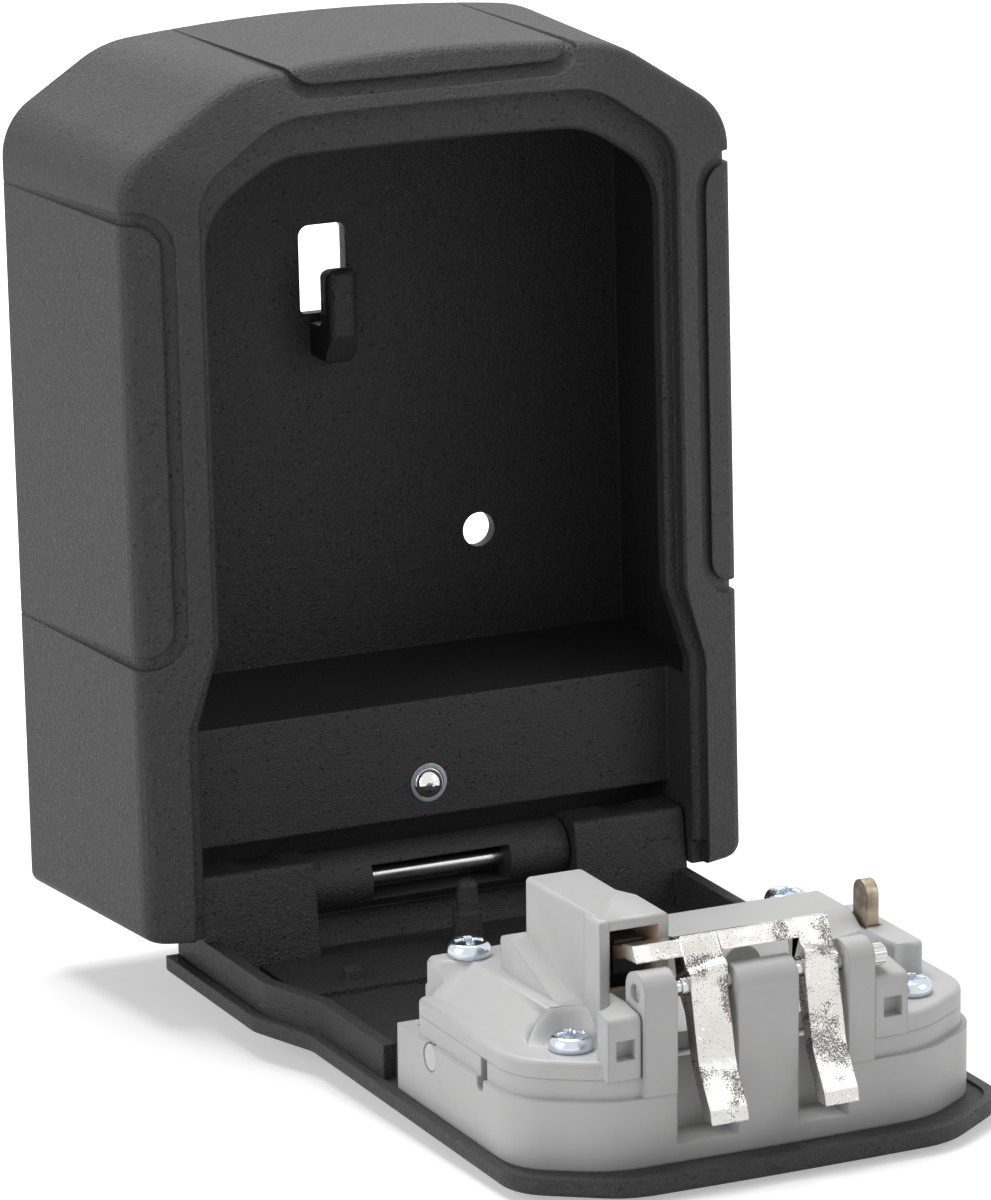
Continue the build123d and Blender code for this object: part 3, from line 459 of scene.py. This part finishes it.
def digit_mesh(character):
    """Points and faces of one plain digit, drawn flat and centred, in millimetres."""
    curve = bpy.data.curves.new("Digit", "FONT")
    curve.body = character
    curve.size = DIGIT_SIZE
    curve.align_x = "CENTER"
    curve.align_y = "CENTER"
    curve.resolution_u = DIGIT_STEPS
    curve.extrude = DIGIT_RISE
    holder = bpy.data.objects.new("Digit", curve)
    bpy.context.scene.collection.objects.link(holder)
    bpy.context.view_layer.update()
    mesh = bpy.data.meshes.new_from_object(holder)
    points = np.empty(len(mesh.vertices) * 3)
    mesh.vertices.foreach_get("co", points)
    faces = [tuple(face.vertices) for face in mesh.polygons]
    bpy.data.objects.remove(holder)
    bpy.data.curves.remove(curve)
    bpy.data.meshes.remove(mesh)
    points = points.reshape(-1, 3)
    middle = (points.min(axis=0) + points.max(axis=0)) / 2.0
    return points - middle, faces


def wheel_digits(name, x, drawn):
    """Ten digits round a wheel: each is laid on its flat by a turn about the wheel's axis."""
    points = []
    faces = []
    start = 0
    for face_number, (flat, polygons) in enumerate(drawn):
        turn = 2.0 * np.pi * face_number / len(drawn)
        out = WHEEL_FLAT + flat[:, 2]
        h = WHEEL_H - out * np.cos(turn) + flat[:, 1] * np.sin(turn)
        s = WHEEL_S + out * np.sin(turn) + flat[:, 1] * np.cos(turn)
        points.append(door_points(x + flat[:, 0], s, h))
        faces += [tuple(index + start for index in polygon) for polygon in polygons]
        start += len(flat)
    mesh = bpy.data.meshes.new(name)
    mesh.from_pydata(np.concatenate(points).tolist(), [], faces)
    return finish_mesh(name, mesh)


# Shader nodes

class Wire:
    """A shader value. Arithmetic on it adds Math nodes."""

    def __init__(self, paint, socket):
        self.paint = paint
        self.socket = socket

    def _math(self, operation, *values):
        return self.paint.node("ShaderNodeMath", {"operation": operation}, dict(enumerate(values)))

    def __add__(self, other):
        return self._math("ADD", self, other)

    def __radd__(self, other):
        return self._math("ADD", other, self)

    def __sub__(self, other):
        return self._math("SUBTRACT", self, other)

    def __rsub__(self, other):
        return self._math("SUBTRACT", other, self)

    def __mul__(self, other):
        return self._math("MULTIPLY", self, other)

    def __rmul__(self, other):
        return self._math("MULTIPLY", other, self)


class Nodes:
    """A node tree that is added to through one method."""

    def __init__(self, tree):
        self.tree = tree

    def node(self, kind, settings, inputs, output=0):
        """Adds a node of a kind, with its settings made first and then its inputs' values or links."""
        node = self.tree.nodes.new(kind)
        for key, value in settings.items():
            setattr(node, key, value)
        for key, value in inputs.items():
            if isinstance(value, Wire):
                self.tree.links.new(value.socket, node.inputs[key])
            else:
                node.inputs[key].default_value = value
        return Wire(self, node.outputs[output])

    def ray(self, kind):
        """One for rays of a kind and zero for others."""
        return self.node("ShaderNodeLightPath", {}, {}, f"Is {kind} Ray")

    def seen(self):
        """One for rays from the camera, from a reflection or through something clear, and zero for light."""
        rays = self.ray("Camera") + self.ray("Glossy") + self.ray("Transmission")
        return self.node("ShaderNodeMath", {"operation": "MINIMUM"}, {0: rays, 1: 1.0})


class Paint(Nodes):
    """A material in the making: its node tree and the one shader at its end."""

    def __init__(self, name):
        self.material = bpy.data.materials.new(name)
        self.material.use_nodes = True
        super().__init__(self.material.node_tree)
        self.shader = self.tree.nodes["Principled BSDF"]
        self.place = self.node("ShaderNodeTexCoord", {}, {}, "Object")

    def noise(self, size, detail=2.0, roughness=0.5, stretch=None):
        """Soft noise whose grains are about the given size in metres, drawn out along an axis by stretch."""
        place = self.place
        if stretch is not None:
            place = self.node("ShaderNodeMapping", {}, {"Vector": place, "Scale": stretch})
        inputs = {"Vector": place, "Scale": 1.0 / size, "Detail": detail, "Roughness": roughness}
        return self.node("ShaderNodeTexNoise", {}, inputs, "Fac")

    def step(self, value, low, high):
        """Zero below low, one above high and a smooth rise between them."""
        settings = {"interpolation_type": "SMOOTHSTEP"}
        return self.node("ShaderNodeMapRange", settings, {"Value": value, "From Min": low, "From Max": high})

    def mix(self, amount, first, second):
        """Blend of two colours. The node has sockets of the same name, so they go by number."""
        return self.node("ShaderNodeMix", {"data_type": "RGBA"}, {0: amount, 6: first, 7: second}, 2)

    def door_place(self):
        """Door coordinates of the place: x, h and s in metres, each a value."""
        turn = Matrix.Rotation(-OPEN_ANGLE, 3, "X")
        shift = HINGE - turn @ HINGE + Vector((0.0, DOOR_FACE, SCREW_HOLE_Z))
        inputs = {"Vector": self.place, "Rotation": (-OPEN_ANGLE, 0.0, 0.0), "Location": shift}
        turned = self.node("ShaderNodeMapping", {"vector_type": "POINT"}, inputs)
        return [self.node("ShaderNodeSeparateXYZ", {}, {0: turned}, axis) for axis in range(3)]

    def within(self, value, low, high, blend=0.00008):
        """One between two values and zero outside them."""
        return self.step(value, low, low + blend) * (1.0 - self.step(value, high - blend, high))

    def rounded(self, radius):
        """Normal that runs smoothly over the edges, as if they had the given radius."""
        return self.node("ShaderNodeBevel", {"samples": 6}, {"Radius": radius}, "Normal")

    def bump(self, height, distance, strength, normal):
        """Normal for a height in parts of a distance, laid over another normal."""
        inputs = {"Height": height, "Distance": distance, "Strength": strength, "Normal": normal}
        return self.node("ShaderNodeBump", {}, inputs, "Normal")

    def set(self, **inputs):
        """Sets or links the shader's own sockets, named with underscores for spaces."""
        for key, value in inputs.items():
            socket = self.shader.inputs[key.replace("_", " ")]
            if isinstance(value, Wire):
                self.tree.links.new(value.socket, socket)
            else:
                socket.default_value = value
        return self.material


def tint(colour, factor):
    """Colour made lighter or darker, with its alpha kept at one."""
    return tuple(min(1.0, channel * factor) for channel in colour[:3]) + (1.0,)


# Finishes, with the sizes of noise, bumps and edges in metres

def powder_coat(name, colour):
    """Textured powder coat: a fine pebbled grain with paler tops, a painted sheen, and a few darker pits,
    painted shade.
    """
    paint = Paint(name)
    grain = 0.0003
    fine = paint.noise(grain, roughness=0.7)
    broad = paint.noise(grain * 3.3)
    tops = paint.step(fine, 0.52, 0.68)
    pits = paint.step(paint.noise(grain * 2.2, detail=1.0), 0.66, 0.74)
    clouds = paint.noise(0.014)
    body = paint.mix(clouds, tint(colour, 0.9), tint(colour, 1.12))
    # Painted sheen: the grain's tops are lightened toward a much paler coat colour
    peak_sheen = paint.mix(tops * 0.9, body, tint(colour, 2.6))
    # Painted shade: the pits are darkened
    shade = paint.mix(pits * 0.8, peak_sheen, tint(colour, 0.2))
    height = fine * 0.9 + broad * 0.5 - pits * 0.6
    normal = paint.bump(height, distance=0.00026, strength=1.0, normal=paint.rounded(0.0005))
    return paint.set(Base_Color=shade, Roughness=0.5 - tops * 0.16, Normal=normal, Specular_IOR_Level=0.42)


def mottle(paint, colour):
    """Colour of moulded plastic, with a faint mottle."""
    return paint.mix(paint.noise(0.004, detail=3.0), tint(colour, 0.95), tint(colour, 1.04))


def plastic_skin(paint, shade, roughness, edge):
    """Satin skin over a colour, with a faint flow of the melt."""
    skin = paint.noise(0.00022)
    flow = paint.noise(0.006, detail=1.0, stretch=(1.0, 0.4, 1.0))
    height = skin * 0.5 + flow * 2.0
    normal = paint.bump(height, distance=0.00004, strength=0.5, normal=paint.rounded(edge))
    rough = paint.noise(0.0009) * 0.12 + (roughness - 0.06)
    return paint.set(Base_Color=shade, Roughness=rough, Normal=normal, Specular_IOR_Level=0.45)


def plastic(name, colour, roughness=PLASTIC_ROUGHNESS, edge=PLASTIC_EDGE):
    """Moulded plastic with a faint mottle and a satin skin."""
    paint = Paint(name)
    return plastic_skin(paint, mottle(paint, colour), roughness, edge)


def cover_plastic(name, colour, inside):
    """Moulded plastic with a painted warm glow, light shining through the plastic, in the hollow of the
    slide's tower.
    """
    paint = Paint(name)
    shade = mottle(paint, colour)
    x, h, s = paint.door_place()
    # Mask of the painted glow: one inside the tower's hollow and zero outside it
    hollow = 1.0
    for value, (low, high) in zip((x, s, h), TOWER_GLOW_BOX):
        hollow = paint.within(value, low * MM, high * MM) * hollow
    return plastic_skin(paint, paint.mix(hollow, shade, inside), PLASTIC_ROUGHNESS, PLASTIC_EDGE)


def cast_nickel(name, colour):
    """Nickel-plated casting: bright smooth skin with patches of fine grit and a few shallow dents."""
    paint = Paint(name)
    patches = paint.step(paint.noise(0.0052), 0.46, 0.64)
    grit = paint.noise(0.0002, roughness=0.75)
    waves = paint.noise(0.0035, detail=1.0)
    dents = paint.step(paint.noise(0.0011, detail=0.0), 0.72, 0.8)
    height = grit * (patches * 0.7 + 0.1) + waves * 1.2 - dents * 0.35
    dark = paint.step(patches * 0.2 + grit, 0.62, 0.68)
    shade = paint.mix(dark * 0.92, colour, tint(colour, 0.12))
    normal = paint.bump(height, distance=0.00012, strength=0.8, normal=paint.rounded(0.0004))
    return paint.set(Base_Color=shade, Metallic=1.0, Roughness=0.19 + patches * 0.14, Normal=normal)


def turned_metal(name, colour, roughness=0.24):
    """Turned or drawn metal with fine marks round the X axis."""
    paint = Paint(name)
    marks = paint.noise(0.0004, stretch=(4.0, 0.35, 0.35))
    shade = paint.mix(marks, tint(colour, 0.88), tint(colour, 1.08))
    normal = paint.bump(marks, distance=0.00002, strength=0.5, normal=paint.rounded(0.0001))
    rough = marks * 0.14 + (roughness - 0.07)
    return paint.set(Base_Color=shade, Metallic=1.0, Roughness=rough, Normal=normal)


def plated_metal(name, colour, roughness):
    """Bright plating with faint haze."""
    paint = Paint(name)
    haze = paint.noise(0.0011, detail=3.0)
    shade = paint.mix(haze, tint(colour, 0.93), tint(colour, 1.04))
    normal = paint.bump(haze, distance=0.00002, strength=0.4, normal=paint.rounded(0.00008))
    rough = haze * 0.1 + (roughness - 0.05)
    return paint.set(Base_Color=shade, Metallic=1.0, Roughness=rough, Normal=normal)


def tumbled_brass(name, colour):
    """Blanked brass, tumbled until its edges are worn, with patches of brown tarnish."""
    paint = Paint(name)
    stain = paint.step(paint.noise(0.0024, detail=4.0), 0.42, 0.66)
    scuffs = paint.noise(0.0003, stretch=(1.0, 1.0, 0.25))
    shade = paint.mix(stain, colour, tint(colour, 0.55))
    normal = paint.bump(scuffs, distance=0.00004, strength=0.6, normal=paint.rounded(0.00025))
    return paint.set(Base_Color=shade, Metallic=0.9, Roughness=0.3 + stain * 0.18, Normal=normal)


def coat(piece, material):
    """Gives a piece its finish."""
    piece.data.materials.clear()
    piece.data.materials.append(material)
    return piece


def dress(node, material):
    """Gives a CAD node its finish."""
    coat(frame["nodes"][node], material)


# Stage

def add_floor():
    """Wide pale floor under the lowest point of the open door, white to the camera away from the object."""
    level = CAD_BOX[0][2] - FLOOR_DROP
    sides = (-FLOOR_HALF, FLOOR_HALF)
    corners = np.array([[x, y, level] for y in sides for x in sides])
    floor = surface_piece("Floor", corners.reshape(2, 2, 3), wrap=False, angle=None)
    paint = Paint("Floor paint")
    paint.set(Base_Color=FLOOR_COLOUR, Roughness=0.9, Specular_IOR_Level=0.2)
    inputs = {"Vector": paint.place, "Location": (*FLOOR_SHIFT, -level)}
    centred = paint.node("ShaderNodeMapping", {"vector_type": "POINT"}, inputs)
    distance = paint.node("ShaderNodeVectorMath", {"operation": "LENGTH"}, {0: centred}, "Value")
    away = paint.step(distance, *FLOOR_FADE)
    direct = paint.ray("Camera") * (away * CAMERA_GLOW + NEAR_GLOW)
    glow = direct + paint.seen() * (away * REFLECTED_GLOW + NEAR_GLOW)
    light = paint.node("ShaderNodeEmission", {}, {"Color": WHITE, "Strength": glow}, "Emission")
    both = paint.node("ShaderNodeAddShader", {}, {0: Wire(paint, paint.shader.outputs[0]), 1: light})
    paint.tree.links.new(both.socket, paint.tree.nodes["Material Output"].inputs["Surface"])
    coat(floor, paint.material)


def add_world(scene, strength):
    """Even pale world, white where it is seen or reflected."""
    world = bpy.data.worlds.new("Studio")
    scene.world = world
    world.use_nodes = True
    nodes = Nodes(world.node_tree)
    background = world.node_tree.nodes["Background"]
    background.inputs["Color"].default_value = WHITE
    power = nodes.seen() * (1.0 - strength) + strength
    world.node_tree.links.new(power.socket, background.inputs["Strength"])


def add_lamp(name, place, power):
    """Square lamp that faces the middle of the object."""
    lamp = bpy.data.lights.new(name, "AREA")
    lamp.energy = power
    lamp.size = LAMP_SIZE
    piece = bpy.data.objects.new(name, lamp)
    piece.location = place
    aim = Vector(LAMP_AIM) - Vector(place)
    piece.rotation_euler = aim.to_track_quat("-Z", "Y").to_euler()
    bpy.context.scene.collection.objects.link(piece)


def add_camera(scene):
    """Camera at the viewing angle of the photograph."""
    turn = math.radians(CAMERA_TURN)
    lift = math.radians(CAMERA_LIFT)
    roll = math.radians(CAMERA_ROLL)
    back = Vector((math.sin(turn) * math.cos(lift), -math.cos(turn) * math.cos(lift), math.sin(lift)))
    right = Vector((math.cos(turn), math.sin(turn), 0.0))
    up = back.cross(right)
    right_rolled = math.cos(roll) * right + math.sin(roll) * up
    up_rolled = -math.sin(roll) * right + math.cos(roll) * up
    place = Vector(CAMERA_TARGET) + back * CAMERA_DISTANCE
    place = place + right_rolled * CAMERA_RIGHT - up_rolled * CAMERA_DOWN
    lens = bpy.data.cameras.new("Photo camera")
    lens.lens = CAMERA_LENS
    lens.sensor_width = CAMERA_SENSOR
    lens.clip_end = CAMERA_REACH
    camera = bpy.data.objects.new("Photo camera", lens)
    axes = Matrix((right_rolled, up_rolled, back)).transposed()
    camera.matrix_world = Matrix.Translation(place) @ axes.to_4x4()
    scene.collection.objects.link(camera)
    scene.camera = camera
    scene.view_settings.view_transform = "Standard"


# Settings

COLOUR = {"subtype": "COLOR", "size": 4, "min": 0.0, "max": 1.0}
POWER = {"min": 0.0, "unit": "POWER"}


class FinishSettings(bpy.types.PropertyGroup):
    """Colours of the finishes."""
    coat: bpy.props.FloatVectorProperty(
        name="Powder coat", description="Colour of the case and door",
        default=(0.023, 0.023, 0.024, 1.0), **COLOUR)
    lock: bpy.props.FloatVectorProperty(
        name="Lock plastic", description="Colour of the lock's housing and cover",
        default=(0.53, 0.528, 0.526, 1.0), **COLOUR)
    # Colour of the painted glow of light through the plastic in the slide's tower
    hollow: bpy.props.FloatVectorProperty(
        name="Tower hollow", description="Colour inside the slide's tower",
        default=(0.80, 0.60, 0.44, 1.0), **COLOUR)
    nickel: bpy.props.FloatVectorProperty(
        name="Nickel", description="Colour of the latch",
        default=(0.74, 0.72, 0.69, 1.0), **COLOUR)
    steel: bpy.props.FloatVectorProperty(
        name="Steel", description="Colour of the pins, rods and springs",
        default=(0.62, 0.62, 0.63, 1.0), **COLOUR)
    zinc: bpy.props.FloatVectorProperty(
        name="Zinc", description="Colour of the screws and the plunger's sleeve",
        default=(0.66, 0.72, 0.79, 1.0), **COLOUR)
    brass: bpy.props.FloatVectorProperty(
        name="Brass", description="Colour of the reset lever and the code sleeves",
        default=(0.44, 0.37, 0.28, 1.0), **COLOUR)
    black: bpy.props.FloatVectorProperty(
        name="Black plastic", description="Colour of the wheels and the slide",
        default=(0.022, 0.022, 0.023, 1.0), **COLOUR)
    digit: bpy.props.FloatVectorProperty(
        name="Digits", description="Colour of the digits on the wheels",
        default=(0.72, 0.72, 0.70, 1.0), **COLOUR)


class LightSettings(bpy.types.PropertyGroup):
    """Strength of the lamps and the world."""
    key: bpy.props.FloatProperty(
        name="Key", description="Power of the lamp on the left", default=3.4, **POWER)
    fill: bpy.props.FloatProperty(
        name="Fill", description="Power of the lamp on the right", default=1.8, **POWER)
    top: bpy.props.FloatProperty(
        name="Top", description="Power of the lamp overhead", default=8.0, **POWER)
    world: bpy.props.FloatProperty(
        name="World", description="Strength of the even light from all round", default=0.25, min=0.0)


# Operators

class KEYSAFE_OT_case(bpy.types.Operator):
    """Finish the case, the door plate, the hinge pin and the plunger"""
    bl_idname = "keysafe.case"
    bl_label = "Case"

    def execute(self, context):
        colours = context.scene.keysafe_finish
        dress("case_shell", powder_coat("Wall box coat", colours.coat))
        dress("door_plate", powder_coat("Door coat", colours.coat))
        dress("hinge_pin", turned_metal("Hinge pin steel", colours.steel))
        dress("plunger_sleeve", plated_metal("Sleeve plating", colours.zinc, roughness=0.18))
        dress("kick_plunger", plated_metal("Plunger plating", CHROME, roughness=0.08))
        dress("kick_spring", turned_metal("Plunger spring wire", colours.steel, roughness=0.3))
        return {"FINISHED"}


class KEYSAFE_OT_lock(bpy.types.Operator):
    """Finish the lock's housing, cover, latch, slide, lever and screws"""
    bl_idname = "keysafe.lock"
    bl_label = "Lock"

    def execute(self, context):
        colours = context.scene.keysafe_finish
        dress("lock_housing", plastic("Housing plastic", colours.lock))
        # The cover's plastic has a painted glow of light inside the tower's hollow
        cover_skin = cover_plastic("Cover plastic", tint(colours.lock, 1.02), colours.hollow)
        dress("lock_cover", cover_skin)
        cover = coat(cover_piece("Cover_moulding"), cover_skin)
        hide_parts("lock_cover")
        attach(cover, "door")
        for shape, name in ((tower_corner, "Cover_tower_corner"), (scoop_piece, "Cover_scoop")):
            piece = coat(shape(name), cover_skin)
            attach(piece, "door")
        dress("side_pin", turned_metal("Side pin steel", colours.steel))
        nickel = cast_nickel("Latch nickel", colours.nickel)
        dress("latch", nickel)
        latch = coat(latch_piece("Latch_cast"), nickel)
        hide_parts("latch")
        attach(latch, "latch_body")
        rod_finish = plated_metal("Latch rod plating", colours.steel, roughness=0.14)
        dress("latch_rod", rod_finish)
        rod = coat(rod_piece("Latch_rod_fine", ROD_S, ROD_H), rod_finish)
        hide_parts("latch_rod")
        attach(rod, "door")
        dress("open_slide", plastic("Slide plastic", colours.black, roughness=0.5))
        dress("open_spring", turned_metal("Slide spring wire", colours.steel, roughness=0.3))
        dress("reset_lever", tumbled_brass("Lever brass", colours.brass))
        zinc = plated_metal("Screw zinc", colours.zinc, roughness=0.2)
        dress("cover_screws", zinc)
        for n, (x, s, top, turn) in enumerate(COVER_SCREWS, 1):
            screw = coat(screw_head(f"Cover_screw_{n}", x, s, top, turn), zinc)
            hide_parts("cover_screws")
            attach(screw, "door")
        return {"FINISHED"}


class KEYSAFE_OT_wheels(bpy.types.Operator):
    """Finish the number wheels, their sleeves, axle and comb, and add the digits"""
    bl_idname = "keysafe.wheels"
    bl_label = "Wheels"

    def execute(self, context):
        colours = context.scene.keysafe_finish
        dress("dial_axle", turned_metal("Axle steel", colours.steel))
        dress("index_spring", turned_metal("Comb steel", colours.steel, roughness=0.3))
        drawn = [digit_mesh(str(digit)) for digit in range(10)]
        white = plastic("Digit filling", colours.digit, roughness=0.5, edge=0.00002)
        for n, x in enumerate(WHEEL_XS, 1):
            dress(f"dial_wheel_{n}", plastic(f"Wheel {n} plastic", colours.black, roughness=0.4))
            dress(f"code_sleeve_{n}", tumbled_brass(f"Sleeve {n} brass", colours.brass))
            digits = coat(wheel_digits(f"Wheel_{n}_digits", x, drawn), white)
            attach(digits, f"wheel_{n}")
        return {"FINISHED"}


class KEYSAFE_OT_stage(bpy.types.Operator):
    """Add the floor, the lamps, the world and the camera"""
    bl_idname = "keysafe.stage"
    bl_label = "Stage"

    def execute(self, context):
        lights = context.scene.keysafe_light
        add_floor()
        add_world(context.scene, lights.world)
        for name, place, setting in LAMPS:
            add_lamp(name, place, getattr(lights, setting))
        add_camera(context.scene)
        return {"FINISHED"}


class KEYSAFE_PT_panel(bpy.types.Panel):
    """Sidebar panel with the settings and the steps"""
    bl_idname = "KEYSAFE_PT_panel"
    bl_label = "Key safe"
    bl_space_type = "VIEW_3D"
    bl_region_type = "UI"
    bl_category = "Key safe"

    def draw(self, context):
        layout = self.layout
        for group in (context.scene.keysafe_finish, context.scene.keysafe_light):
            for key in group.bl_rna.properties.keys():
                if key not in ("rna_type", "name"):
                    layout.prop(group, key)
        for operator in OPERATORS:
            layout.operator(operator.bl_idname)


OPERATORS = (KEYSAFE_OT_case, KEYSAFE_OT_lock, KEYSAFE_OT_wheels, KEYSAFE_OT_stage)
CLASSES = (FinishSettings, LightSettings) + OPERATORS + (KEYSAFE_PT_panel,)


def register():
    for cls in CLASSES:
        bpy.utils.register_class(cls)
    bpy.types.Scene.keysafe_finish = bpy.props.PointerProperty(type=FinishSettings)
    bpy.types.Scene.keysafe_light = bpy.props.PointerProperty(type=LightSettings)


def unregister():
    del bpy.types.Scene.keysafe_light
    del bpy.types.Scene.keysafe_finish
    for cls in reversed(CLASSES):
        bpy.utils.unregister_class(cls)


def main():
    register()
    bpy.ops.keysafe.case()
    bpy.ops.keysafe.lock()
    bpy.ops.keysafe.wheels()
    bpy.ops.keysafe.stage()


if __name__ == "__main__":
    main()
